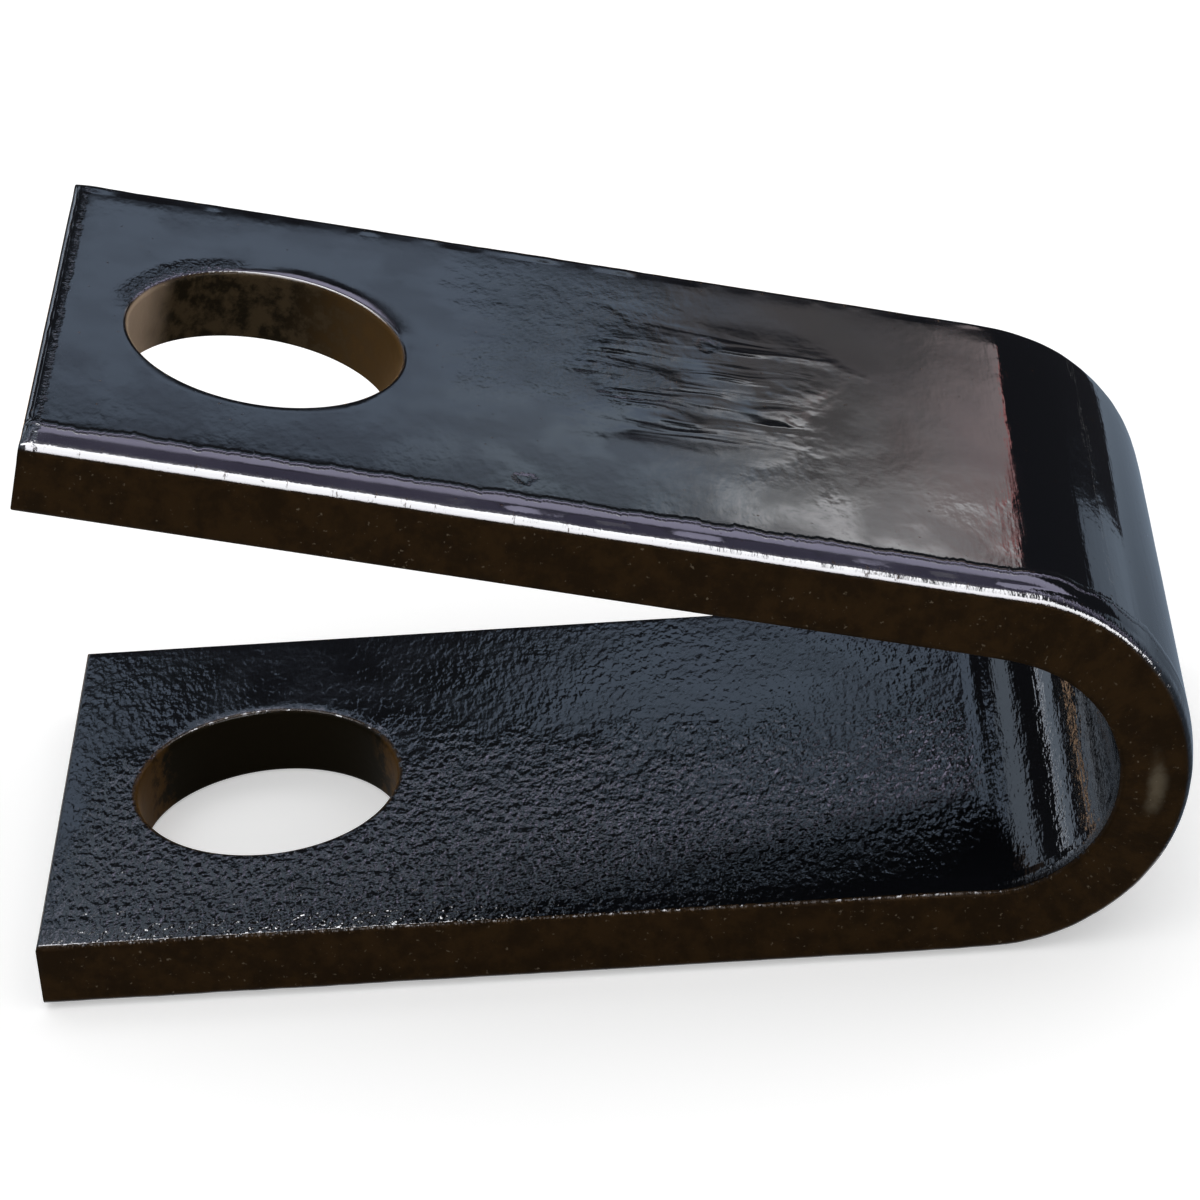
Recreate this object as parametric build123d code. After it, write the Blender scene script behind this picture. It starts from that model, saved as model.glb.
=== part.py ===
"""Clevis bent from one length of flat bar: two legs joined by a half-round bend, splayed apart
towards their free ends, with a pin hole punched square through each leg.

The lower leg lies flat on z = 0. X runs along it from the free ends to the bend, and Y across the bar.
The origin is under the middle of the clevis.
"""

from build123d import *

import os
from math import asin, degrees

# flat bar
bar_width = 50.0
bar_thickness = 6.6

# bend
inner_bend_radius = 11.7
splay_angle = 14.0  # degrees between the two legs

# straight length of each leg, from the end of the bend to its free end
lower_leg_straight = 83.0
upper_leg_straight = 84.7

# pin holes, on the bar's centre line
pin_hole_diameter = 23.8
lower_hole_from_end = 18.9
upper_hole_from_end = 18.9
hole_rim_radius = 0.9

# long edges: on the outer face a wide shallow roll that ends in a rounded corner,
# on the inner face a small radius
edge_roll_width = 4.2
edge_roll_radius = 18.0
outer_edge_radius = 1.0
inner_edge_radius = 0.6

# cropped ends
outer_end_radius = 0.8
inner_end_radius = 0.4
crop_allowance = 5.0  # how far the bar is drawn past each end before it is cropped

outer_bend_radius = inner_bend_radius + bar_thickness
bend_angle = 180.0 - splay_angle


def round_corners(sketch, corners, radius):
    """The sketch with its vertices at the given corners rounded."""
    vertices = [sketch.vertices().sort_by_distance(corner)[0] for corner in corners]
    return fillet(vertices, radius)


def bar_line(depth, extra=0.0):
    """The bar's run in side view, x along and y up: lower leg, bend, upper leg.
    It lies at a depth below the outer face, and runs past both free ends by the extra length."""
    lower = Line((-lower_leg_straight - extra, depth), (0, depth))
    bend = CenterArc((0, outer_bend_radius), outer_bend_radius - depth, -90, bend_angle)
    upper = Line(bend @ 1, bend @ 1 + (bend % 1) * (upper_leg_straight + extra))
    return [lower, bend, upper]


def bar_section():
    """The bar's cross-section, x across it and y through it, with the outer face on y = 0."""
    half_width = bar_width / 2
    roll_start = half_width - edge_roll_width
    roll_angle = degrees(asin(edge_roll_width / edge_roll_radius))
    right_roll = CenterArc((roll_start, edge_roll_radius), edge_roll_radius, -90, roll_angle)
    left_roll = mirror(right_roll, Plane.YZ)
    inner_corners = [(half_width, bar_thickness), (-half_width, bar_thickness)]
    outer_corners = [right_roll @ 1, left_roll @ 1]
    outline = [
        Line(left_roll @ 0, right_roll @ 0),
        right_roll,
        left_roll,
        Polyline(outer_corners[0], *inner_corners, outer_corners[1]),
    ]
    section = make_face(outline)
    section = round_corners(section, outer_corners, outer_edge_radius)
    return round_corners(section, inner_corners, inner_edge_radius)


def bent_bar():
    """The whole bar swept round the bend, longer than the clevis by the crop allowance."""
    path = Wire([Plane.XZ * piece for piece in bar_line(0, crop_allowance)])
    start = Plane(path @ 0, x_dir=(0, 1, 0), z_dir=path % 0)
    return sweep(start * bar_section(), path=path)


def side_profile():
    """The finished clevis in side view, with the corners of its cropped ends rounded."""
    outer = bar_line(0)
    inner = bar_line(bar_thickness)
    outer_corners = [outer[0] @ 0, outer[2] @ 1]
    inner_corners = [inner[0] @ 0, inner[2] @ 1]
    ends = [Line(a, b) for a, b in zip(outer_corners, inner_corners)]
    profile = make_face(outer + inner + ends)
    profile = round_corners(profile, outer_corners, outer_end_radius)
    return round_corners(profile, inner_corners, inner_end_radius)


def pin_hole_cutters():
    """A cylinder through each leg, square to it and on its centre line."""
    lower, bend, upper = bar_line(bar_thickness / 2)
    lower_centre = lower @ 0 + (lower % 0) * lower_hole_from_end
    upper_centre = upper @ 1 - (upper % 1) * upper_hole_from_end
    cylinder = Rot(X=90) * Cylinder(pin_hole_diameter / 2, 2 * bar_thickness)
    return [
        Plane.XZ * Pos(centre) * Rot(Z=leg_angle) * cylinder
        for centre, leg_angle in ((lower_centre, 0), (upper_centre, bend_angle))
    ]


def clevis_strap():
    blank = bent_bar() & extrude(Plane.XZ * side_profile(), bar_width, both=True)
    for cutter in pin_hole_cutters():
        blank -= cutter
    rims = blank.edges().filter_by(lambda edge: edge.is_closed)
    strap = fillet(rims, hole_rim_radius)
    box = strap.bounding_box()
    return Pos(-box.center().X, -box.center().Y, -box.min.Z) * strap


os.makedirs("parts", exist_ok=True)
export_step(clevis_strap(), "parts/clevis_strap.step")
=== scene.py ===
import math

import bmesh
import bpy
import numpy as np
from mathutils import Matrix, Vector, noise


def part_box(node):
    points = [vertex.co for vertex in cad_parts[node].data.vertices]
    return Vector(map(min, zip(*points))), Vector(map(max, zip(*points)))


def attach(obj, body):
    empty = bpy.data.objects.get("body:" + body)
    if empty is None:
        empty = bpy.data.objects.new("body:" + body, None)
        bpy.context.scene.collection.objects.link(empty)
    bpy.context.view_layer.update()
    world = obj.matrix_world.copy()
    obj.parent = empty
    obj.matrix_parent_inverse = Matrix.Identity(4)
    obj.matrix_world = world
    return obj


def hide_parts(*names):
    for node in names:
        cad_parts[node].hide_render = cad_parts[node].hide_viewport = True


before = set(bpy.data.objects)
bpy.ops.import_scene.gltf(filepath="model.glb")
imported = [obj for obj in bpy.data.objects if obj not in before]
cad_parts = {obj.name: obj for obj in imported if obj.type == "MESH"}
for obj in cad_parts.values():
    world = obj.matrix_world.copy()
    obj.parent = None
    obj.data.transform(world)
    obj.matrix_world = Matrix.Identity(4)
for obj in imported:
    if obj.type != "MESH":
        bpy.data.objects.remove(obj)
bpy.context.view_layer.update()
print("frame loaded")

mm = 0.001  # sizes below are in millimetres, the scene is in metres


# a socket that can be used in sums
class Wire:
    def __init__(self, finish, socket):
        self.finish = finish
        self.socket = socket

    def calc(self, operation, left, right=0.0):
        return self.finish.node("ShaderNodeMath", {"operation": operation}, {0: left, 1: right})

    def __add__(self, other):
        return self.calc("ADD", self, other)

    def __radd__(self, other):
        return self.calc("ADD", other, self)

    def __sub__(self, other):
        return self.calc("SUBTRACT", self, other)

    def __rsub__(self, other):
        return self.calc("SUBTRACT", other, self)

    def __mul__(self, other):
        return self.calc("MULTIPLY", self, other)

    def __rmul__(self, other):
        return self.calc("MULTIPLY", other, self)

    def __truediv__(self, other):
        return self.calc("DIVIDE", self, other)

    def __rtruediv__(self, other):
        return self.calc("DIVIDE", other, self)

    def __abs__(self):
        return self.calc("ABSOLUTE", self)

    def root(self):
        return self.calc("SQRT", self)

    def larger(self, other):
        return self.calc("MAXIMUM", self, other)

    def smaller(self, other):
        return self.calc("MINIMUM", self, other)


# a node tree, and the few nodes that its finishes are made of
class Finish:
    def __init__(self, tree):
        self.tree = tree
        self.tree.nodes.clear()

    def node(self, kind, settings=None, inputs=None, output=0):
        made = self.tree.nodes.new(kind)
        for name, value in (settings or {}).items():
            setattr(made, name, value)
        for name, value in (inputs or {}).items():
            socket = made.inputs[name]
            if isinstance(value, Wire):
                self.tree.links.new(value.socket, socket)
            elif socket.type == "RGBA":
                socket.default_value = (*value, 1.0)
            else:
                socket.default_value = value
        return Wire(self, made.outputs[output]) if made.outputs else None

    # 0 where the value is at low, 1 where it is at high, with a soft run between
    def step(self, value, low, high):
        return self.node(
            "ShaderNodeMapRange",
            {"interpolation_type": "SMOOTHSTEP"},
            {"Value": value, "From Min": low, "From Max": high},
        )

    # 1 between low and high, with soft edges
    def zone(self, value, low, high, soft):
        return self.step(value - low, -soft, soft) * (1 - self.step(value - high, -soft, soft))

    # the x, y and z of a vector
    def parts(self, vector):
        split = self.node("ShaderNodeSeparateXYZ", inputs={"Vector": vector})
        return [Wire(self, split.socket.node.outputs[axis]) for axis in "XYZ"]

    def stretch(self, place, factors):
        return self.node("ShaderNodeVectorMath", {"operation": "MULTIPLY"}, {0: place, 1: factors})

    def grain(self, place, scales, detail, roughness):
        place = self.stretch(place, scales)
        return self.node(
            "ShaderNodeTexNoise",
            inputs={"Vector": place, "Scale": 1.0, "Detail": detail, "Roughness": roughness},
        )

    def blend(self, share, first, second):
        inputs = {"Factor": share, 6: first, 7: second}
        return self.node("ShaderNodeMix", {"data_type": "RGBA"}, inputs, output=2)

    # colours laid over one another, each with its share
    def layers(self, colour, *covers):
        for share, cover in covers:
            colour = self.blend(share, colour, cover)
        return colour


def newMaterial(name):
    material = bpy.data.materials.new(name)
    material.use_nodes = True
    return material


clevis = {
    "barWidth": 50.0,
    "barThickness": 6.6,
    "innerBendRadius": 11.7,
    "splayAngle": 14.0,
    "lowerLegStraight": 83.0,
    "upperLegStraight": 84.7,
    "holeDiameter": 23.8,
    "lowerHoleFromEnd": 18.9,
    "upperHoleFromEnd": 18.9,
    "holeRimRadius": 0.55,
    "edgeRollWidth": 4.2,
    "edgeRollRadius": 18.0,
    "outerEdgeRadius": 1.0,
    "innerEdgeRadius": 0.45,
    "outerEndRadius": 0.8,
    "innerEndRadius": 0.4,
    # how the bar gave way when it was bent, rolled and cropped
    "bendBulge": 0.56,  # how far the sides swell, for a whole thickness from the neutral line
    "neutralLine": 0.45,  # share of the thickness, from the outer face, that keeps its width
    "bulgeEase": 9.0,  # run over which the swelling starts and ends
    "bulgeStart": 0.6,  # share of the flat half width where it starts
    "farRollShare": 0.06,  # the far edge keeps this much of the near edge's roll
    "endRollWidth": 1.5,  # drawn-down strip at the upper leg's cut end
    "endRollDrop": 0.14,
    "endRollWander": (0.22, 1.6),  # share of the strip's width, and length across
    # unevenness: a height, then lengths along, across and through the bar
    "surfaceWave": (0.016, 14.0, 11.0, 6.0),
    "surfaceRipple": (0.0056, 4.5, 4.0, 4.0),
    "calmShare": 0.75,  # how much of both is lost towards the near edge
    "calmPlace": (8.0, 16.0),  # from the centre line, where that starts and ends
    "edgeWander": [(0.07, 7.0, 3.0), (0.035, 1.8, 9.0)],  # height, length, and a noise place
    # mesh
    "meshStep": 0.62,
    "stepsAcross": 60,
    "holeRings": 11,
    "holeBlock": 16.4,  # half length of the patch of mesh round each hole
    "rollSteps": 9,
    "cornerSteps": 10,
    "sideSteps": 8,
    "innerCornerSteps": 6,
    "rimSteps": 8,
    "wallSteps": 7,
}

outerBendRadius = clevis["innerBendRadius"] + clevis["barThickness"]
bendTurn = math.radians(180.0 - clevis["splayAngle"])
bendStart = clevis["lowerLegStraight"]
bendEnd = bendStart + outerBendRadius * bendTurn
barLength = bendEnd + clevis["upperLegStraight"]
holePlaces = [clevis["lowerHoleFromEnd"], barLength - clevis["upperHoleFromEnd"]]
flatHalfWidth = clevis["barWidth"] / 2 - clevis["edgeRollWidth"]


# how far a rounded corner of that radius stands back, at a depth below its face
def cornerInset(radius, depth):
    if depth >= radius:
        return 0.0
    return radius - math.sqrt(max(0.0, radius**2 - (radius - depth) ** 2))


# the bar's side in section, from the outer face down to the inner face: (half width, depth)
def sideOutline():
    roll, corner = clevis["edgeRollRadius"], clevis["outerEdgeRadius"]
    halfWidth, thickness = clevis["barWidth"] / 2, clevis["barThickness"]
    inner = clevis["innerEdgeRadius"]
    cornerCentre = halfWidth - corner
    rollEnd = math.asin((cornerCentre - flatHalfWidth) / (roll - corner))
    cornerDepth = roll - (roll - corner) * math.cos(rollEnd)
    outline = []
    for i in range(clevis["rollSteps"]):
        turn = rollEnd * i / clevis["rollSteps"]
        outline.append((flatHalfWidth + roll * math.sin(turn), roll * (1 - math.cos(turn))))
    for i in range(clevis["cornerSteps"]):
        turn = rollEnd + (math.pi / 2 - rollEnd) * i / clevis["cornerSteps"]
        outline.append((cornerCentre + corner * math.sin(turn), cornerDepth - corner * math.cos(turn)))
    sideHeight = thickness - inner - cornerDepth
    for i in range(clevis["sideSteps"]):
        outline.append((halfWidth, cornerDepth + sideHeight * i / clevis["sideSteps"]))
    for i in range(clevis["innerCornerSteps"] + 1):
        turn = math.pi / 2 * i / clevis["innerCornerSteps"]
        inset = inner * (1 - math.cos(turn))
        outline.append((halfWidth - inset, thickness - inner * (1 - math.sin(turn))))
    return outline


# the two broad faces share one plan, laid out flat: along the bar, and across it from -1 to 1
class Plan:
    def __init__(self):
        self.points = []
        self.quads = []
        self.lowRow = []
        self.highRow = []
        self.holeLoops = []

    def point(self, along, across, hole=-1, share=1.0):
        self.points.append((along, across, hole, share))
        return len(self.points) - 1

    def column(self, along):
        steps = clevis["stepsAcross"]
        made = [self.point(along, 2 * i / steps - 1) for i in range(steps + 1)]
        self.lowRow.append(made[0])
        self.highRow.append(made[-1])
        return made

    def run(self, column, start, end):
        steps = max(1, round((end - start) / clevis["meshStep"]))
        for i in range(1, steps + 1):
            following = self.column(start + (end - start) * i / steps)
            for j in range(len(column) - 1):
                self.quads.append((column[j], following[j], following[j + 1], column[j + 1]))
            column = following
        return column

    def holePatch(self, column, start, end, hole):
        steps = round((end - start) / clevis["meshStep"])
        alongs = [start + (end - start) * i / steps for i in range(1, steps)]
        lowEdge = [self.point(along, -1.0) for along in alongs]
        highEdge = [self.point(along, 1.0) for along in alongs]
        self.lowRow += lowEdge
        self.highRow += highEdge
        farColumn = self.column(end)
        ring = column[:1] + lowEdge + farColumn + highEdge[::-1] + column[:0:-1]
        rings = clevis["holeRings"]
        for i in range(1, rings + 1):
            share = 1 - i / rings
            nextRing = [self.point(*self.points[k][:2], hole, share) for k in ring]
            for j in range(len(ring)):
                k = (j + 1) % len(ring)
                self.quads.append((ring[j], ring[k], nextRing[k], nextRing[j]))
            ring = nextRing
        self.holeLoops.append(ring)
        return farColumn


def layOutPlan():
    plan = Plan()
    block = clevis["holeBlock"]
    column = plan.column(0.0)
    firstColumn = column
    column = plan.run(column, 0.0, holePlaces[0] - block)
    column = plan.holePatch(column, holePlaces[0] - block, holePlaces[0] + block, 0)
    column = plan.run(column, holePlaces[0] + block, bendStart)
    column = plan.run(column, bendStart, bendEnd)
    column = plan.run(column, bendEnd, holePlaces[1] - block)
    column = plan.holePatch(column, holePlaces[1] - block, holePlaces[1] + block, 1)
    column = plan.run(column, holePlaces[1] + block, barLength)
    plan.rim = plan.lowRow + column[1:-1] + plan.highRow[::-1] + firstColumn[-2:0:-1]
    return plan


# where the plan's points lie, for a face or a level between: (along, across) in millimetres
def planPlaces(points, halfWidth, endInset, holeRadius):
    table = np.array(points)
    along, across, hole, share = table.T
    endBlock = holePlaces[0] - clevis["holeBlock"]
    startShare = np.clip(1 - along / endBlock, 0, 1)
    endShare = np.clip(1 - (barLength - along) / endBlock, 0, 1)
    place = np.column_stack([along + endInset * (startShare - endShare), across * halfWidth])
    for index, centre in enumerate(holePlaces):
        mine = hole == index
        spoke = np.column_stack([along[mine] - centre, across[mine] * flatHalfWidth])
        spoke /= np.linalg.norm(spoke, axis=1)[:, None]
        circle = np.array([centre, 0.0]) + spoke * holeRadius
        place[mine] = circle + share[mine][:, None] * (place[mine] - circle)
    return place


# from the flat bar to the bent one: (along, across, depth below the outer face) to x, y, z
def bendBar(flat, bendCentreX):
    along, across, depth = flat.T
    turn = np.clip((along - bendStart) / outerBendRadius, 0, bendTurn)
    radius = outerBendRadius - depth
    past = np.minimum(along - bendStart, 0) + np.maximum(along - bendEnd, 0)
    x = bendCentreX + radius * np.sin(turn) + past * np.cos(turn)
    z = outerBendRadius - radius * np.cos(turn) + past * np.sin(turn)
    return np.column_stack([x, across, z])


def clevisMesh():
    plan = layOutPlan()
    thickness = clevis["barThickness"]
    holeRadius = clevis["holeDiameter"] / 2
    rimRadius = clevis["holeRimRadius"]
    outline = sideOutline()
    flat, quads = [], []

    def addLevel(points, halfWidth, depth, endInset, radius):
        first = sum(len(level) for level in flat)
        place = planPlaces(points, halfWidth, endInset, radius)
        flat.append(np.column_stack([place, np.full(len(place), depth)]))
        return first

    def joinLoops(upper, lower, turned):
        for j in range(len(upper)):
            k = (j + 1) % len(upper)
            quad = (upper[j], upper[k], lower[k], lower[j])
            quads.append(quad if turned else quad[::-1])

    outerFirst = addLevel(
        plan.points, outline[0][0], 0.0, clevis["outerEndRadius"], holeRadius + rimRadius
    )
    innerFirst = addLevel(
        plan.points, outline[-1][0], thickness, clevis["innerEndRadius"], holeRadius + rimRadius
    )
    for a, b, c, d in plan.quads:
        quads.append((outerFirst + a, outerFirst + d, outerFirst + c, outerFirst + b))
        quads.append((innerFirst + a, innerFirst + b, innerFirst + c, innerFirst + d))

    # sides and ends, a loop for each step of the section
    rimPoints = [plan.points[i] for i in plan.rim]
    upper = [outerFirst + i for i in plan.rim]
    for halfWidth, depth in outline[1:-1]:
        inset = cornerInset(clevis["outerEndRadius"], depth)
        inset += cornerInset(clevis["innerEndRadius"], thickness - depth)
        first = addLevel(rimPoints, halfWidth, depth, inset, holeRadius)
        lower = list(range(first, first + len(rimPoints)))
        joinLoops(upper, lower, True)
        upper = lower
    joinLoops(upper, [innerFirst + i for i in plan.rim], True)

    # hole walls
    rimSteps, wallSteps = clevis["rimSteps"], clevis["wallSteps"]
    curve = [math.pi / 2 * i / rimSteps for i in range(1, rimSteps + 1)]
    depths = [rimRadius * (1 - math.cos(turn)) for turn in curve]
    wallHeight = thickness - 2 * rimRadius
    wall = [rimRadius + wallHeight * i / wallSteps for i in range(1, wallSteps)]
    levels = depths + wall + [thickness - depth for depth in depths[::-1]]
    for loop in plan.holeLoops:
        loopPoints = [plan.points[i] for i in loop]
        upper = [outerFirst + i for i in loop]
        for depth in levels:
            inset = cornerInset(rimRadius, depth) + cornerInset(rimRadius, thickness - depth)
            first = addLevel(loopPoints, flatHalfWidth, depth, 0.0, holeRadius + inset)
            lower = list(range(first, first + len(loopPoints)))
            joinLoops(upper, lower, False)
            upper = lower
        joinLoops(upper, [innerFirst + i for i in loop], False)
    return np.concatenate(flat), quads


# the sides swell at the inside of the bend and draw in at its outside
def swellBend(flat):
    along, across, depth = flat.T
    ease = clevis["bulgeEase"]
    inBend = np.clip((along - bendStart + ease / 2) / ease, 0, 1)
    inBend *= np.clip((bendEnd + ease / 2 - along) / ease, 0, 1)
    inBend = inBend**2 * (3 - 2 * inBend)
    start = flatHalfWidth * clevis["bulgeStart"]
    nearEdge = np.clip((abs(across) - start) / (flatHalfWidth - start), 0, 1) ** 2
    swell = clevis["bendBulge"] * (depth / clevis["barThickness"] - clevis["neutralLine"])
    flat[:, 1] += np.sign(across) * inBend * nearEdge * swell


# the far edge was rolled less, so its shallow slope is mostly filled up again
def fillFarEdge(flat):
    along, across, depth = flat.T
    roll, corner = clevis["edgeRollRadius"], clevis["outerEdgeRadius"]
    rollWidth = clevis["barWidth"] / 2 - corner - flatHalfWidth
    slope = np.clip(across - flatHalfWidth, 0, roll * rollWidth / (roll - corner))
    drop = roll - np.sqrt(roll**2 - slope**2)
    fade = np.clip(1 - (depth - drop) / (corner * 0.95), 0, 1)
    filled = (across > flatHalfWidth) & (depth < clevis["barThickness"] / 3)
    flat[:, 2] -= drop * fade * (1 - clevis["farRollShare"]) * filled


# slow waves over the rolled surfaces, a wander along the corners of the long edges,
# and the drawn-down strip at the upper leg's cut end
def surfaceRelief(flat):
    relief = np.empty(len(flat))
    edge = clevis["barWidth"] / 2 - clevis["outerEdgeRadius"] * 1.6
    edgeDepth = clevis["outerEdgeRadius"] * 1.6
    wave, waveAlong, waveAcross, waveDeep = clevis["surfaceWave"]
    ripple, rippleAlong, rippleAcross, rippleDeep = clevis["surfaceRipple"]
    calmStart, calmEnd = clevis["calmPlace"]
    wanderShare, wanderLength = clevis["endRollWander"]
    cutDepth = 0.5
    for i, (along, across, depth) in enumerate(flat):
        height = wave * noise.noise(Vector((along / waveAlong, across / waveAcross, depth / waveDeep)))
        place = Vector((along / rippleAlong, across / rippleAcross, 7 + depth / rippleDeep))
        height += ripple * noise.noise(place)
        calm = min(max((-across - calmStart) / (calmEnd - calmStart), 0.0), 1.0)
        height *= 1 - clevis["calmShare"] * calm
        if abs(across) > edge and depth < edgeDepth:
            side = math.copysign(40.0, across)
            for wander, length, level in clevis["edgeWander"]:
                height += wander * noise.noise(Vector((along / length, side, level)))
        fromCut = (barLength - along) / clevis["endRollWidth"]
        if fromCut < 1 + wanderShare and depth < cutDepth:
            fromCut += wanderShare * noise.noise(Vector((across / wanderLength, 5.0, 2.0)))
            height -= clevis["endRollDrop"] * max(0.0, 1 - fromCut) ** 2 * (1 - depth / cutDepth)
        relief[i] = height
    return relief


def buildClevis(finish):
    flat, quads = clevisMesh()
    place = flat.copy()
    swellBend(flat)
    fillFarEdge(flat)
    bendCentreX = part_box("clevis_strap")[1].x / mm - outerBendRadius
    mesh = bpy.data.meshes.new("clevisStrap")
    mesh.from_pydata((bendBar(flat, bendCentreX) * mm).tolist(), [], quads)
    mesh.update()
    normals = np.empty(len(mesh.vertices) * 3)
    mesh.vertices.foreach_get("normal", normals)
    relief = normals.reshape(-1, 3) * surfaceRelief(flat)[:, None]
    moved = bendBar(flat, bendCentreX) + relief
    mesh.vertices.foreach_set("co", (moved * mm).ravel())
    mesh.shade_smooth()
    layout = mesh.attributes.new("barPlace", "FLOAT_VECTOR", "POINT")
    layout.data.foreach_set("vector", place.ravel())
    mesh.materials.append(finish)
    mesh.update()
    piece = bpy.data.objects.new("clevisStrap", mesh)
    bpy.context.scene.collection.objects.link(piece)
    weighted = piece.modifiers.new("faceNormals", "WEIGHTED_NORMAL")
    weighted.keep_sharp = True
    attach(piece, "root")
    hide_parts("clevis_strap")
    print("clevis built:", len(mesh.vertices), "points,", 2 * len(mesh.polygons), "triangles")


blackPaint = {
    "faceColour": (0.0040, 0.0045, 0.0060),
    "faceIor": 1.45,
    "faceRoughness": (0.05, 0.10),
    "bendPolish": 0.5,  # share of that roughness which the bend loses
    # painted reflection: the sides' browns stand in for mirrored brown ground
    "sideReflectedBrown": (0.0240, 0.0130, 0.0048),
    "sideShade": (0.0138, 0.0078, 0.0033),
    "sideSpeck": (0.100, 0.078, 0.054),
    "sideIor": 1.07,
    "sideRoughness": 0.42,
    # painted reflections on the holes' walls, and painted shade on the lower hole's darker wall
    "wallReflectedColour": (0.046, 0.032, 0.017),
    "wallDarkMottle": (0.0110, 0.0082, 0.0045),
    "wallGold": (0.068, 0.038, 0.013),
    "wallTan": (0.330, 0.245, 0.175),
    "lowerWallShadedColour": (0.0105, 0.0080, 0.0040),
    "lowerWallTan": (0.085, 0.043, 0.012),
    # heights of the relief, in millimetres
    "outerPeel": 0.005,
    "bendPeel": 0.009,
    "innerPeel": 0.160,
    "drawMarkDepth": 0.105,
    "cloudyDepth": 0.03,
    "bendCrease": 0.016,
    "edgeRidge": 0.055,
    "edgeNick": 0.03,
    "bendNicks": 2.5,  # how much more the edge is nicked round the bend
    "sideGrain": 0.03,
    "lipSlope": 0.062,
    "rimDraw": 0.085,
    "rimSand": 0.055,
    "endFray": 0.05,
    "dentDepth": 0.030,
    # soft borders in millimetres, as (where there is none, where it is full)
    "nearHalf": (2.0, -2.0),  # across
    "innerFace": (0.50, 0.15),  # up from the inner face
    "side": (0.30, 0.06),  # in from a long edge
    "outerCorner": (1.9, 0.9),
    "bore": (0.45, 0.12),  # out from a hole's wall
    "bendEase": 3.0,
    # the inner face's coarse peel; a third number sways the border
    "innerPeelShares": (0.17, 0.83, 0.35),  # everywhere, where speckled, and near the edge
    "speckledAcross": (11.0, -4.0, 20.0),
    "speckledEnd": (1.0, 6.0, 3.0),
    "calmerAlong": (38.0, 66.0, 20.0),
    "calmerSlant": 0.5,
    "calmerShare": 0.66,
    "rougherAcross": (-4.0, -15.0, 10.0),
    "rougherAlong": (84.0, 70.0, 0.0),
    "bendPeelLoss": 0.6,
    # patches ahead of the bend: start, end, softness and sway along, then the same across
    "markedPatch": ((18.0, 37.0, 4.0, 14.0), (-7.0, 14.0, 3.0)),
    "cloudyPatch": ((31.0, 47.0, 4.0, 20.0), (-3.0, 21.0, 4.0)),
    "markScales": (0.055, 0.36),
    "markWeave": 1.5,
    "markPatchShare": 0.6,  # of the marks, this much comes and goes in patches
    # the ragged line where the near edge starts to roll, and the lip on the inner face
    "ridgeInset": 5.8,
    "ridgeWidth": 0.62,
    "ridgeSway": (2.6, 1.2),  # by the wander and by the teeth
    "ridgeDepths": (0.9, 0.6),
    "lipInset": 2.7,
    "lipSway": 1.2,
    # the upper hole's rim on its far half: drawn in at its right, sandy at its left
    "farHalf": (0.5, 6.0),
    "drawnReach": (2.0, 1.6),  # and more by the teeth
    "drawnSide": (3.0, -3.0),
    "sandyReach": (2.45, 0.45, 1.5),
    "sandySide": (1.0, 5.0),
    "frayWidth": (1.5, 0.9),
    "fraySway": 1.3,
    "dents": [(162.6, 11.6, 1.6), (178.8, -18.0, 1.2)],  # along, across, radius
    "dentCore": 0.3,  # share of the radius that is full depth
    "dentSway": 2.2,
    # a painted highlight, a pale spot on the bend's side: along the bar and below the outer face
    "sideHighlightColour": (0.165, 0.138, 0.096),
    "sideHighlightPlace": (109.4, 3.4),
    "sideHighlightSize": (4.8, 1.15),
    "sideHighlightShare": 0.5,
    "sideHighlightSway": 0.3,
    # along the holes' walls, from their centres; the last number sways the border
    "upperTan": (8.0, 11.4, 2.5),
    "upperGold": (-2.0, -11.0, 3.0),
    "lowerTan": (9.6, 11.6, -1.2),
    # where the thin coat shows: in from the long edge or out from the hole, and up the side
    "wornCorner": ((0.42, 0.30), (0.60, 0.45)),
    "wornRim": ((0.65, 0.45), (0.70, 0.50)),
    "wornShare": (0.93, 0.80),  # and less where there are beads of paint
    "cutShare": 0.75,
    "fleckShare": 0.6,
    # noises: scales along, across and through the bar, detail, roughness
    "noises": {
        "mottle": ((0.16, 0.16, 0.16), 3.0, 0.5),
        "peel": ((1.15, 0.62, 1.0), 2.0, 0.5),
        "cells": ((1.75, 0.92, 1.0), 2.0, 0.45),
        "weave": ((0.10, 0.25, 0.5), 1.0, 0.5),
        "cloudy": ((0.9, 0.5, 1.0), 4.0, 0.7),
        "creases": ((1.7, 0.12, 0.5), 2.0, 0.5),
        "wander": ((0.22, 0.0, 0.0), 4.0, 0.65),
        "teeth": ((1.7, 0.0, 0.0), 3.0, 0.7),
        "nicks": ((1.6, 0.6, 0.6), 3.0, 0.7),
        "sand": ((2.6, 1.3, 1.0), 2.0, 0.6),
        "cutEnd": ((0.9, 0.9, 0.9), 3.0, 0.7),
    },
    # spots: the same, and the noise values where a spot starts and is full
    "spots": {
        "duller": ((0.16, 0.16, 0.16), 3.0, 0.5, 0.36, 0.62),
        "marked": ((0.11, 0.11, 0.11), 1.0, 0.5, 0.40, 0.60),
        "specks": ((2.1, 2.1, 2.1), 2.0, 0.5, 0.68, 0.78),
        "clouds": ((0.42, 0.42, 0.42), 4.0, 0.65, 0.36, 0.64),
        "wallMottle": ((0.6, 0.6, 0.6), 4.0, 0.7, 0.38, 0.62),
        "beads": ((1.2, 1.2, 1.2), 3.0, 0.7, 0.54, 0.62),
        "cuts": ((1.9, 0.35, 0.35), 4.0, 0.8, 0.61, 0.66),
        "flecks": ((1.5, 1.5, 1.5), 2.0, 0.5, 0.70, 0.76),
    },
}


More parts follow.
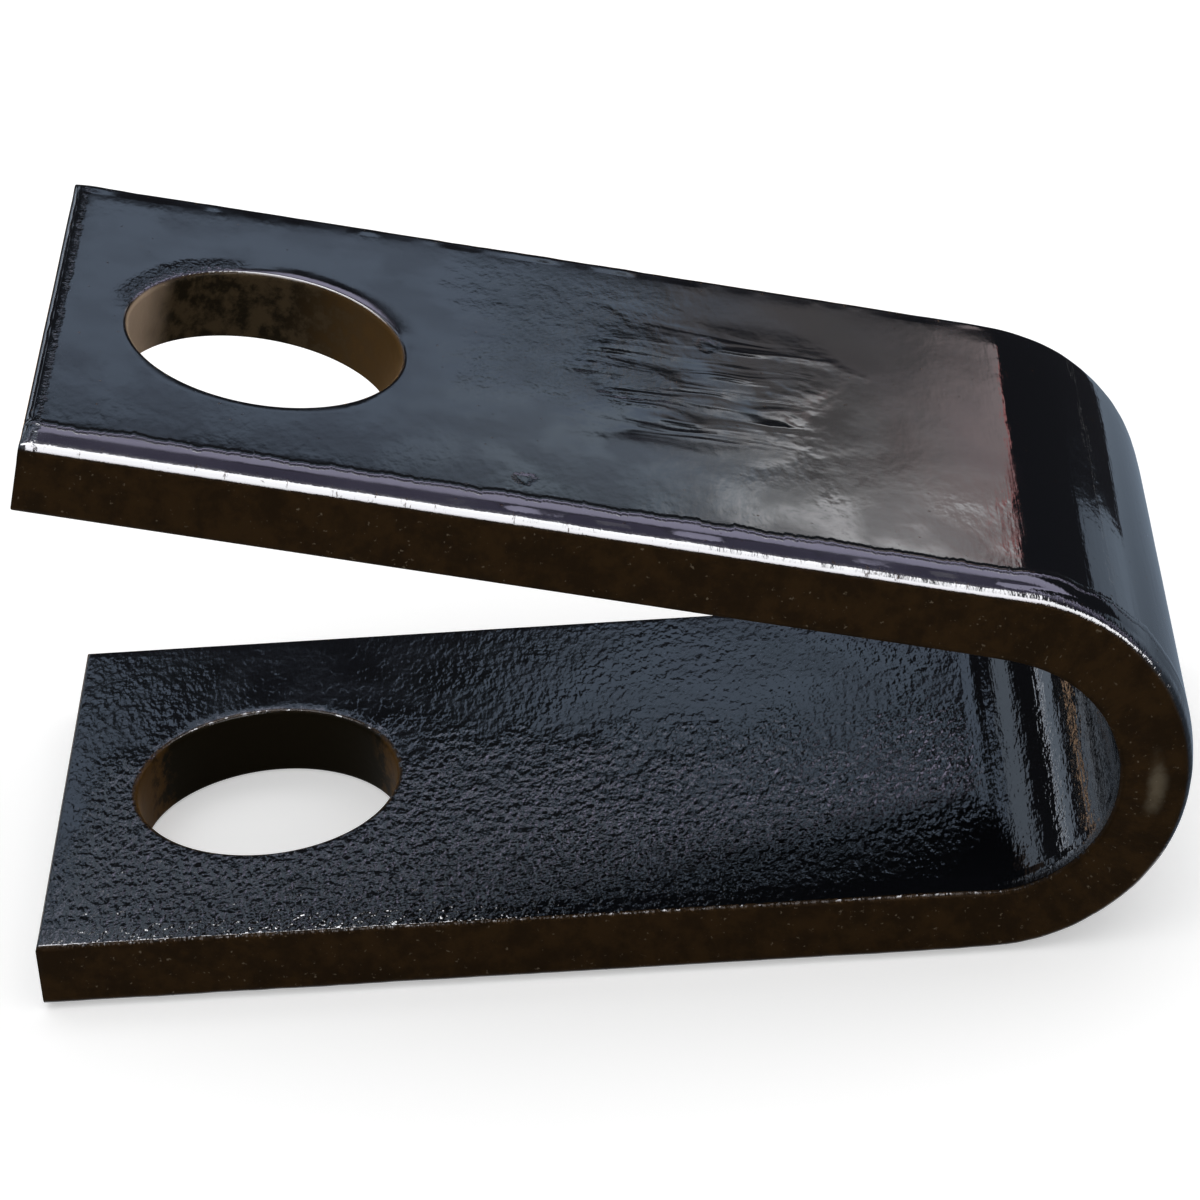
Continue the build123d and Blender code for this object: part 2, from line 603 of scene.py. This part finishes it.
# the paint, from where on the flat bar a point lies
class Paint(Finish):
    def __init__(self, tree):
        super().__init__(tree)
        place = self.node("ShaderNodeAttribute", {"attribute_name": "barPlace"}, output=1)
        self.along, self.across, self.depth = self.parts(place)
        self.noise, self.spot = {}, {}
        for name, values in blackPaint["noises"].items():
            self.noise[name] = self.grain(place, *values)
        for name, (scales, detail, roughness, start, full) in blackPaint["spots"].items():
            self.spot[name] = self.step(self.grain(place, scales, detail, roughness), start, full)
        self.mottle = self.noise["mottle"] - 0.5

        self.fromEdge = clevis["barWidth"] / 2 - abs(self.across)
        self.fromInner = clevis["barThickness"] - self.depth
        self.spans = [self.along - centre for centre in holePlaces]
        holeRadius = clevis["holeDiameter"] / 2
        self.fromWalls = [self.length(span, self.across) - holeRadius for span in self.spans]
        self.onBend = self.zone(self.along, bendStart, bendEnd, blackPaint["bendEase"])
        self.nearSide = self.step(self.across, *blackPaint["nearHalf"])
        self.innerFace = self.step(self.fromInner, *blackPaint["innerFace"])
        self.outerFace = 1 - self.innerFace
        self.side = self.step(self.fromEdge, *blackPaint["side"])
        self.bores = [self.step(fromWall, *blackPaint["bore"]) for fromWall in self.fromWalls]
        self.wall = self.bores[0].larger(self.bores[1])
        self.corner = self.step(self.fromEdge, *blackPaint["outerCorner"])

    def length(self, a, b):
        return (a * a + b * b).root()

    # a soft border that a noise sways to and fro
    def border(self, value, start, full, sway, swayedBy=None):
        return self.step(value + sway * (swayedBy or self.mottle), start, full)

    # fine orange peel outside, coarse and uneven inside
    def peel(self):
        speckled = self.border(self.across, *blackPaint["speckledAcross"])
        slanted = self.along + blackPaint["calmerSlant"] * self.across
        calmer = blackPaint["calmerShare"] * self.border(slanted, *blackPaint["calmerAlong"])
        speckled = speckled * (1 - calmer) * self.border(self.along, *blackPaint["speckledEnd"])
        rougher = self.border(self.across, *blackPaint["rougherAcross"])
        rougher = rougher * self.border(self.along, *blackPaint["rougherAlong"])
        everywhere, bySpeckles, byRougher = blackPaint["innerPeelShares"]
        inner = blackPaint["innerPeel"] * (everywhere + bySpeckles * speckled + byRougher * rougher)
        inner = inner * (1 - blackPaint["bendPeelLoss"] * self.onBend)
        outer = blackPaint["outerPeel"]
        outer = outer + self.onBend * (blackPaint["bendPeel"] - outer)
        sideways = self.side.larger(self.wall) * blackPaint["sideGrain"]
        height = self.noise["peel"] * (outer * self.outerFace + sideways)
        return height + self.noise["cells"] * inner * self.innerFace

    def patch(self, lengthways, sideways):
        start, end, soft, sway = lengthways
        share = self.zone(self.along - bendEnd + sway * self.mottle, start, end, soft)
        return share * self.zone(self.across, *sideways) * self.outerFace

    # long wavy draw marks and a cloudy patch ahead of the bend, and creases round it
    def drawMarks(self):
        lengthways, sideways = blackPaint["markScales"]
        woven = self.across * sideways + blackPaint["markWeave"] * self.noise["weave"]
        markPlace = self.node(
            "ShaderNodeCombineXYZ", inputs={"X": self.along * lengthways, "Y": woven, "Z": 3.0}
        )
        marks = self.grain(markPlace, (1.0, 1.0, 1.0), 2.0, 0.45)
        inPatches = blackPaint["markPatchShare"]
        marked = 1 - inPatches + inPatches * self.spot["marked"]
        marked = marked * self.patch(*blackPaint["markedPatch"])
        cloudy = self.noise["cloudy"] * self.patch(*blackPaint["cloudyPatch"])
        creases = self.noise["creases"] * self.onBend
        return (
            marks * marked * blackPaint["drawMarkDepth"]
            + cloudy * blackPaint["cloudyDepth"]
            + creases * blackPaint["bendCrease"]
        )

    # the ridge, the nicks and the lip of the near edge
    def nearEdge(self):
        wander, teeth = self.noise["wander"], self.noise["teeth"]
        bySway, byTeeth = blackPaint["ridgeSway"]
        fromRidge = self.fromEdge + bySway * wander + byTeeth * teeth - blackPaint["ridgeInset"]
        fromRidge = fromRidge / blackPaint["ridgeWidth"]
        ridge = 1 - (fromRidge * fromRidge).smaller(1.0)
        ridge = ridge * self.step(self.depth, *blackPaint["ridgeDepths"])
        nicks = self.noise["nicks"] * self.corner * (1 + blackPaint["bendNicks"] * self.onBend)
        fromLip = blackPaint["lipInset"] - self.fromEdge - blackPaint["lipSway"] * (wander - 0.5)
        lip = fromLip.larger(0.0) * self.innerFace
        height = ridge * blackPaint["edgeRidge"] + nicks * blackPaint["edgeNick"]
        return (height - lip * blackPaint["lipSlope"]) * self.nearSide

    # the upper hole's rim, the ragged strip at the cut end, and a few dents
    def damage(self):
        fromRim = self.fromWalls[1] - clevis["holeRimRadius"]
        farHalf = self.step(self.across, *blackPaint["farHalf"])
        drawnReach, drawnTeeth = blackPaint["drawnReach"]
        drawn = fromRim / (drawnReach + drawnTeeth * self.noise["teeth"])
        drawn = 1 - drawn.smaller(1.0).larger(0.0)
        drawn = drawn * drawn * farHalf * self.step(self.spans[1], *blackPaint["drawnSide"])
        sandy = self.border(fromRim, *blackPaint["sandyReach"]) * farHalf
        sandy = sandy * self.step(self.spans[1], *blackPaint["sandySide"]) * self.noise["sand"]
        fromCut = barLength - self.along + blackPaint["fraySway"] * (self.noise["cutEnd"] - 0.5)
        fray = self.step(fromCut, *blackPaint["frayWidth"])
        dent = 0.0
        for along, across, radius in blackPaint["dents"]:
            away = self.length(self.along - along, self.across - across)
            sway = blackPaint["dentSway"] * (self.noise["cloudy"] - 0.5)
            dent = dent + self.step(away + sway, radius, radius * blackPaint["dentCore"])
        return self.outerFace * (
            sandy * blackPaint["rimSand"]
            - drawn * blackPaint["rimDraw"]
            - fray * blackPaint["endFray"]
            - dent * blackPaint["dentDepth"]
        )

    # the long sides: a painted reflection of brown ground in two browns, pale specks, and a painted
    # highlight
    def sideReflectionTone(self):
        tone = self.blend(self.spot["clouds"], blackPaint["sideShade"], blackPaint["sideReflectedBrown"])
        tone = self.blend(self.spot["specks"], tone, blackPaint["sideSpeck"])
        along, depth = blackPaint["sideHighlightPlace"]
        halfLength, halfHeight = blackPaint["sideHighlightSize"]
        away = self.length((self.along - along) / halfLength, (self.depth - depth) / halfHeight)
        away = away + blackPaint["sideHighlightSway"] * (self.spot["clouds"] - 0.5)
        # painted highlight: a pale spot on the near side of the bend
        paintedHighlight = self.step(away, 1.0, 0.0) * self.nearSide * blackPaint["sideHighlightShare"]
        return self.blend(paintedHighlight, tone, blackPaint["sideHighlightColour"])

    # the holes' walls: painted reflections, mottled darker, gold or tan at their ends; the lower hole's
    # wall darker still as painted shade
    def wallReflectionTone(self):
        wallMottle = self.spot["wallMottle"]
        upper = self.blend(wallMottle, blackPaint["wallDarkMottle"], blackPaint["wallReflectedColour"])
        gold = self.border(self.spans[1], *blackPaint["upperGold"], wallMottle - 0.5)
        upper = self.blend(gold, upper, blackPaint["wallGold"])
        upperTan = self.border(self.spans[1], *blackPaint["upperTan"])
        upper = self.blend(upperTan, upper, blackPaint["wallTan"])
        lowerTan = self.border(abs(self.spans[0]), *blackPaint["lowerTan"], wallMottle - 0.5)
        # painted shade: the lower hole's wall is much darker than the upper one's
        lower = self.blend(lowerTan, blackPaint["lowerWallShadedColour"], blackPaint["lowerWallTan"])
        return self.blend(self.bores[1], lower, upper)

    # the coat is thin on the inner corners, and nicked along the outer one
    def thinCoat(self):
        inwards, upwards = blackPaint["wornCorner"]
        worn = self.step(self.fromEdge, *inwards) * self.step(self.fromInner, *upwards)
        outwards, upwards = blackPaint["wornRim"]
        rim = self.step(self.fromWalls[0], *outwards) * self.step(self.fromInner, *upwards)
        most, beaded = blackPaint["wornShare"]
        worn = worn.larger(rim) * (most - beaded * self.spot["beads"])
        cuts = self.corner * self.spot["cuts"] * self.outerFace * blackPaint["cutShare"]
        flecks = self.spot["flecks"] * self.outerFace * blackPaint["fleckShare"]
        return self.side.larger(self.wall).larger(worn).larger(cuts).larger(flecks)

    def coat(self, colour, roughness, ior, bump):
        return self.node(
            "ShaderNodeBsdfPrincipled",
            inputs={"Base Color": colour, "Roughness": roughness, "IOR": ior, "Normal": bump},
        )


# gloss on the broad faces, and a thinner, duller coat on the sides and in the holes, whose browns are
# painted reflections, with painted shade in the lower hole
def paintFinish():
    material = newMaterial("blackPaint")
    paint = Paint(material.node_tree)
    height = paint.peel() + paint.drawMarks() + paint.nearEdge() + paint.damage()
    bump = paint.node("ShaderNodeBump", inputs={"Strength": 1.0, "Distance": mm, "Height": height})
    low, high = blackPaint["faceRoughness"]
    roughness = low + (high - low) * paint.spot["duller"]
    roughness = roughness * (1 - blackPaint["bendPolish"] * paint.onBend)
    gloss = paint.coat(blackPaint["faceColour"], roughness, blackPaint["faceIor"], bump)
    tone = paint.blend(paint.wall, paint.sideReflectionTone(), paint.wallReflectionTone())
    dull = paint.coat(tone, blackPaint["sideRoughness"], blackPaint["sideIor"], bump)
    surface = paint.node("ShaderNodeMixShader", inputs={0: paint.thinCoat(), 1: gloss, 2: dull})
    paint.node("ShaderNodeOutputMaterial", inputs={"Surface": surface})
    print("paint mixed")
    return material


buildClevis(paintFinish())


studio = {
    "floorColour": (0.86, 0.86, 0.86),
    "floorGlow": (0.40, 0.40, 0.40),
    "floorReach": 3.0,
    "roomLight": 0.62,
    "keyPower": 5.0,
    "keySize": 1.6,
    "keyPlace": (0.0, 0.1, 1.1),
    "keyTarget": (0.0, 0.0, 0.03),
}


# 1 where the ray comes from the camera, a reflection or a clear piece
def seenRay(finish):
    rays = finish.node("ShaderNodeLightPath")
    outputs = rays.socket.node.outputs
    seen = Wire(finish, outputs["Is Camera Ray"])
    seen = seen.larger(Wire(finish, outputs["Is Glossy Ray"]))
    return seen.larger(Wire(finish, outputs["Is Transmission Ray"]))


def addSheet(name, corners, height, material):
    mesh = bpy.data.meshes.new(name)
    mesh.from_pydata([(x, y, height) for x, y in corners], [], [tuple(range(len(corners)))])
    mesh.materials.append(material)
    sheet = bpy.data.objects.new(name, mesh)
    bpy.context.scene.collection.objects.link(sheet)
    return sheet


def buildFloor():
    material = newMaterial("floorPaper")
    finish = Finish(material.node_tree)
    paper = finish.node(
        "ShaderNodeBsdfPrincipled",
        inputs={
            "Base Color": studio["floorColour"],
            "Roughness": 0.9,
            "Specular IOR Level": 0.0,
            "Emission Color": finish.blend(seenRay(finish), (0, 0, 0), studio["floorGlow"]),
            "Emission Strength": 1.0,
        },
    )
    finish.node("ShaderNodeOutputMaterial", inputs={"Surface": paper})
    reach = studio["floorReach"]
    corners = [(-reach, -reach), (reach, -reach), (reach, reach), (-reach, reach)]
    floor = addSheet("floor", corners, 0.0, material)
    floor.location.z = -0.02 * mm


def lightRoom():
    world = bpy.data.worlds.new("studio")
    bpy.context.scene.world = world
    world.use_nodes = True
    finish = Finish(world.node_tree)
    white = (1, 1, 1)
    room = finish.node("ShaderNodeBackground", inputs={"Color": white, "Strength": studio["roomLight"]})
    backdrop = finish.node("ShaderNodeBackground", inputs={"Color": white, "Strength": 1.0})
    background = finish.node("ShaderNodeMixShader", inputs={0: seenRay(finish), 1: room, 2: backdrop})
    finish.node("ShaderNodeOutputWorld", inputs={"Surface": background})


def addKeyLight():
    light = bpy.data.lights.new("keySoftbox", "AREA")
    light.shape = "RECTANGLE"
    light.size = studio["keySize"]
    light.size_y = studio["keySize"]
    light.energy = studio["keyPower"]
    lamp = bpy.data.objects.new("keySoftbox", light)
    aim = Vector(studio["keyTarget"]) - Vector(studio["keyPlace"])
    lamp.location = studio["keyPlace"]
    lamp.rotation_euler = aim.to_track_quat("-Z", "Y").to_euler()
    bpy.context.scene.collection.objects.link(lamp)


# a glow that lights nothing
def glowFinish(material, finish, colour):
    glow = finish.node("ShaderNodeEmission", inputs={"Color": colour, "Strength": 1.0})
    finish.node("ShaderNodeOutputMaterial", inputs={"Surface": glow})
    material.cycles.emission_sampling = "NONE"


def showToGlossOnly(piece):
    piece.visible_camera = False
    piece.visible_diffuse = False
    piece.visible_shadow = False


# a tent of cloth and cards that only gloss sees; places are degrees of swing, from the middle
# to the right, and of rise, and a third number is how soft the borders are
tent = {
    "reach": 6.0,
    "cloth": (0.03, 0.03, 0.035),
    "frontCloth": (0.30, 0.31, 0.34),
    "skyPanel": (0.69, 0.87, 1.16),
    "skyEdge": (1.02, 1.24, 1.50),
    "warmPanel": (0.46, 0.43, 0.435),
    "redPanel": (1.50, 1.24, 1.26),
    "redRim": (2.2, 0.9, 0.9),
    "paleCard": (4.5, 4.5, 4.6),
    "sparkCard": (2.2, 2.35, 2.9),
    "lilacCard": (2.6, 2.5, 3.4),
    "plumCard": (0.52, 0.47, 0.76),
    "lowWall": (0.42, 0.52, 0.66),
    "overheadBox": (26.0, 26.0, 27.0),
    "ceiling": (0.62, 0.68, 0.78),
    "bendBlue": (0.75, 0.90, 1.10),
    "bendPale": (2.4, 2.6, 2.9),
    # the band that the flat faces mirror: rise, more at the far left, less to the right, slope
    "bandLow": (30.3, 3.3, 4.8, 0.275),
    "bandHigh": (34.3, 1.8, 5.2, 0.25),
    "bandEnds": (-13.0, 18.6, 0.25),
    "bandFarLeft": (-8.9, -3.9, 1.1),
    "bandToRight": (0.5, 4.5),
    "bandSlopeStart": 5.0,
    # its panels, from left to right; rises are from the band's upper edge
    "skyEdgeRise": (-1.7, -0.8),
    "skyEdgeSwing": (9.0, 12.0),
    "warmSwing": (10.6, 13.6),
    "warmSlant": (24.0, 1.7),
    "redSwing": (15.6, 17.5),
    "rimSwing": (18.05, 18.4),
    "paleSwing": (13.4, 16.2),
    "paleLine": (0.80, 0.09, 0.10),
    # cards above the band
    "rightSwing": (4.4, 5.4),
    "plumRise": (12.5, 30.0, 1.5),
    "lilacRise": (4.6, 11.5, 0.7),
    "leftSwings": ((1.5, 0.0), (-12.5, -11.5)),
    "sparkRises": ((0.6, 3.2, 0.3), (5.0, 12.5, 0.5)),
    # what the inside of the bend mirrors: a blue card, and a narrow one with a pale edge
    "bendSwing": (-13.8, -14.6),
    "bendHighRise": (23.4, 24.4),
    "bendLowRise": (5.2, 12.6, 0.35),
    "bendPaleRise": (11.3, 12.6, 0.25),
    # the low wall that the outside of the bend mirrors, higher for its near half
    "wallSwing": (0.0, 4.0),
    "wallLine": (30.4, 0.016),
    "wallRise": (0.6, -1.0),
    "wallNearRise": 8.2,
    "ceilingRise": (52.0, 60.0),
}

# a bright box in the ceiling, as x and y over z: wide behind the clevis, narrow over its near
# edge, and off where the upper leg's face would mirror it from above
overheadBox = {
    "y": (-0.95, 0.70, 0.08),
    "leftEnd": -0.60,
    "leftEndNear": 0.62,  # how much further right that end is in front
    "leftEndRun": (0.34, 0.14),
    "rightEnd": (5.5, 4.5),
    "cutX": (0.40, 0.52),
    "cutY": (-0.30, -0.16),
    "lowest": (0.1, 0.2),
}


def tentPanels(finish, swing, rise, above):
    slantRise, slant = tent["warmSlant"]
    warm = finish.step(swing - (rise - slantRise) * slant, *tent["warmSwing"])
    paleDrop, paleSlope, paleSoft = tent["paleLine"]
    paleLine = above + paleDrop - paleSlope * (swing - tent["paleSwing"][1])
    pale = finish.step(paleLine, -paleSoft, paleSoft) * finish.step(swing, *tent["paleSwing"])
    edge = finish.step(above, *tent["skyEdgeRise"]) * finish.step(swing, *tent["skyEdgeSwing"])
    return finish.layers(
        tent["skyPanel"],
        (edge, tent["skyEdge"]),
        (warm, tent["warmPanel"]),
        (finish.step(swing, *tent["redSwing"]), tent["redPanel"]),
        (finish.step(swing, *tent["rimSwing"]), tent["redRim"]),
        (pale, tent["paleCard"]),
    )


def overheadShare(finish, x, y, z):
    overX, overY = x / z.larger(0.01), y / z.larger(0.01)
    leftEnd = overheadBox["leftEndNear"] * finish.step(overY, *overheadBox["leftEndRun"])
    share = finish.zone(overY, *overheadBox["y"])
    share = share * finish.step(overX - leftEnd - overheadBox["leftEnd"], -0.1, 0.1)
    cut = finish.step(overX, *overheadBox["cutX"]) * finish.step(overY, *overheadBox["cutY"])
    share = share * (1 - cut) * finish.step(overX, *overheadBox["rightEnd"])
    return share * finish.step(z, *overheadBox["lowest"])


def tentLook(finish):
    where = finish.node("ShaderNodeNewGeometry")
    x, y, z = finish.parts(finish.stretch(where, (1 / tent["reach"],) * 3))
    turnDegrees = math.degrees(1.0)
    rise = z.calc("ARCSINE", z) * turnDegrees
    swing = x.calc("ARCTAN2", x, y) * turnDegrees

    farLeft = finish.zone(swing, *tent["bandFarLeft"])
    toRight = finish.step(swing, *tent["bandToRight"])
    past = (swing - tent["bandSlopeStart"]).larger(0.0)
    bandEdges = []
    for level, more, less, slope in (tent["bandLow"], tent["bandHigh"]):
        bandEdges.append(level + more * farLeft - less * toRight - slope * past)
    above = rise - bandEdges[1]
    inBand = finish.step(rise - bandEdges[0], -0.35, 0.35) * finish.step(above, 0.3, -0.3)
    inBand = inBand * finish.zone(swing, *tent["bandEnds"])

    front = finish.step(y, 0.15, -0.15)
    behind = 1 - front
    right = behind * finish.step(swing, *tent["rightSwing"])
    leftOf, rightOf = tent["leftSwings"]
    left = behind * finish.step(swing, *leftOf) * finish.step(swing, *rightOf)
    lowSparks, highSparks = tent["sparkRises"]
    sparks = left * finish.zone(above, *lowSparks).larger(finish.zone(above, *highSparks))
    atBend = behind * finish.step(swing, *tent["bendSwing"])
    wallEnd, wallBow = tent["wallLine"]
    fromLevel = rise + 1.0
    nearHalf = finish.step(swing - wallEnd + wallBow * fromLevel * fromLevel, -0.10, 0.10)
    lowWall = finish.step(rise - tent["wallNearRise"] * nearHalf, *tent["wallRise"])
    return finish.layers(
        finish.blend(front, tent["cloth"], tent["frontCloth"]),
        (right * finish.zone(above, *tent["plumRise"]), tent["plumCard"]),
        (right * finish.zone(above, *tent["lilacRise"]), tent["lilacCard"]),
        (sparks, tent["sparkCard"]),
        (inBand * behind, tentPanels(finish, swing, rise, above)),
        (atBend * finish.step(rise, *tent["bendHighRise"]), tent["bendBlue"]),
        (atBend * finish.zone(rise, *tent["bendLowRise"]), tent["bendBlue"]),
        (atBend * finish.zone(rise, *tent["bendPaleRise"]), tent["bendPale"]),
        (lowWall * nearHalf * finish.step(swing, *tent["wallSwing"]), tent["lowWall"]),
        (finish.step(rise, *tent["ceilingRise"]), tent["ceiling"]),
        (overheadShare(finish, x, y, z), tent["overheadBox"]),
    )


def buildTent():
    material = newMaterial("reflectionTent")
    finish = Finish(material.node_tree)
    glowFinish(material, finish, tentLook(finish))
    cloth = bpy.data.meshes.new("reflectionTent")
    shell = bmesh.new()
    bmesh.ops.create_uvsphere(shell, u_segments=96, v_segments=48, radius=tent["reach"])
    shell.to_mesh(cloth)
    shell.free()
    cloth.shade_smooth()
    cloth.materials.append(material)
    dome = bpy.data.objects.new("reflectionTent", cloth)
    bpy.context.scene.collection.objects.link(dome)
    showToGlossOnly(dome)


# a card lying behind the clevis and round its bend, that only gloss sees; in metres
card = {
    "near": (0.20, 0.25, 0.32),
    "far": (0.46, 0.57, 0.72),
    "dark": (0.03, 0.03, 0.035),
    "tan": (1.5, 1.0, 0.65),
    "grey": (0.16, 0.17, 0.20),
    "lift": 0.0004,
    "corners": [
        (-0.9, 0.028), (0.053, 0.028), (0.053, -0.06), (2.6, -0.06), (2.6, 2.6), (-0.9, 2.6),
    ],
    "farRun": (0.028, 0.24),  # y, where the near tone turns into the far one
    "bendX": 0.046,  # distances are taken from here
    "darkLine": (-0.005, 29.6),  # past this line, with its y and degrees, the far half is dark
    "darkFrom": (0.17, 0.20),
    "leftRun": (0.042, 0.036),  # x, left of which lies what the inside of the bend mirrors
    "greyWithin": (0.06, 0.05),
    "tanRing": (0.13, 0.19, 0.008),
}


def layCard():
    material = newMaterial("floorCard")
    finish = Finish(material.node_tree)
    x, y = finish.parts(finish.node("ShaderNodeNewGeometry"))[:2]
    fromBend = x - card["bendX"]
    away = (fromBend * fromBend + y * y).root()
    lineY, angle = card["darkLine"]
    angle = math.radians(angle)
    offLine = fromBend * math.cos(angle) - (y - lineY) * math.sin(angle)
    farHalf = finish.step(offLine, 0.001, -0.001) * finish.step(away, *card["darkFrom"])
    toLeft = finish.step(x, *card["leftRun"])
    tone = finish.layers(
        finish.blend(finish.step(y, *card["farRun"]), card["near"], card["far"]),
        (farHalf, card["dark"]),
        (toLeft, card["dark"]),
        (toLeft * finish.step(away, *card["greyWithin"]), card["grey"]),
        (toLeft * finish.zone(away, *card["tanRing"]), card["tan"]),
    )
    glowFinish(material, finish, tone)
    sheet = addSheet("floorCard", card["corners"], card["lift"], material)
    showToGlossOnly(sheet)


buildFloor()
buildTent()
layCard()
lightRoom()
addKeyLight()
print("studio lit")


camera = {
    "target": (0.0, 0.0, 23.563),
    "azimuth": -2.265,
    "elevation": 30.376,
    "roll": -4.683,
    "distance": 424.56,
    "lens": 142.19,
    "sensorWidth": 36.0,
    "clipStart": 10.0,
}


def placeCamera():
    data = bpy.data.cameras.new("camera")
    data.lens = camera["lens"]
    data.sensor_width = camera["sensorWidth"]
    data.clip_start = camera["clipStart"] * mm
    azimuth = math.radians(camera["azimuth"])
    elevation = math.radians(camera["elevation"])
    level = Vector((math.sin(azimuth), math.cos(azimuth), 0.0))
    forward = level * math.cos(elevation) - Vector((0.0, 0.0, math.sin(elevation)))
    sideways = forward.cross(Vector((0, 0, 1))).normalized()
    right = Matrix.Rotation(math.radians(camera["roll"]), 3, -forward) @ sideways
    above = right.cross(forward)
    turn = Matrix((right, above, -forward)).transposed().to_4x4()
    place = (Vector(camera["target"]) - forward * camera["distance"]) * mm
    viewer = bpy.data.objects.new("camera", data)
    viewer.matrix_world = Matrix.Translation(place) @ turn
    bpy.context.scene.collection.objects.link(viewer)
    bpy.context.scene.camera = viewer
    print("camera placed at", [round(v / mm, 2) for v in place], "millimetres")


placeCamera()
bpy.context.scene.view_settings.view_transform = "Standard"

bpy.context.view_layer.update()
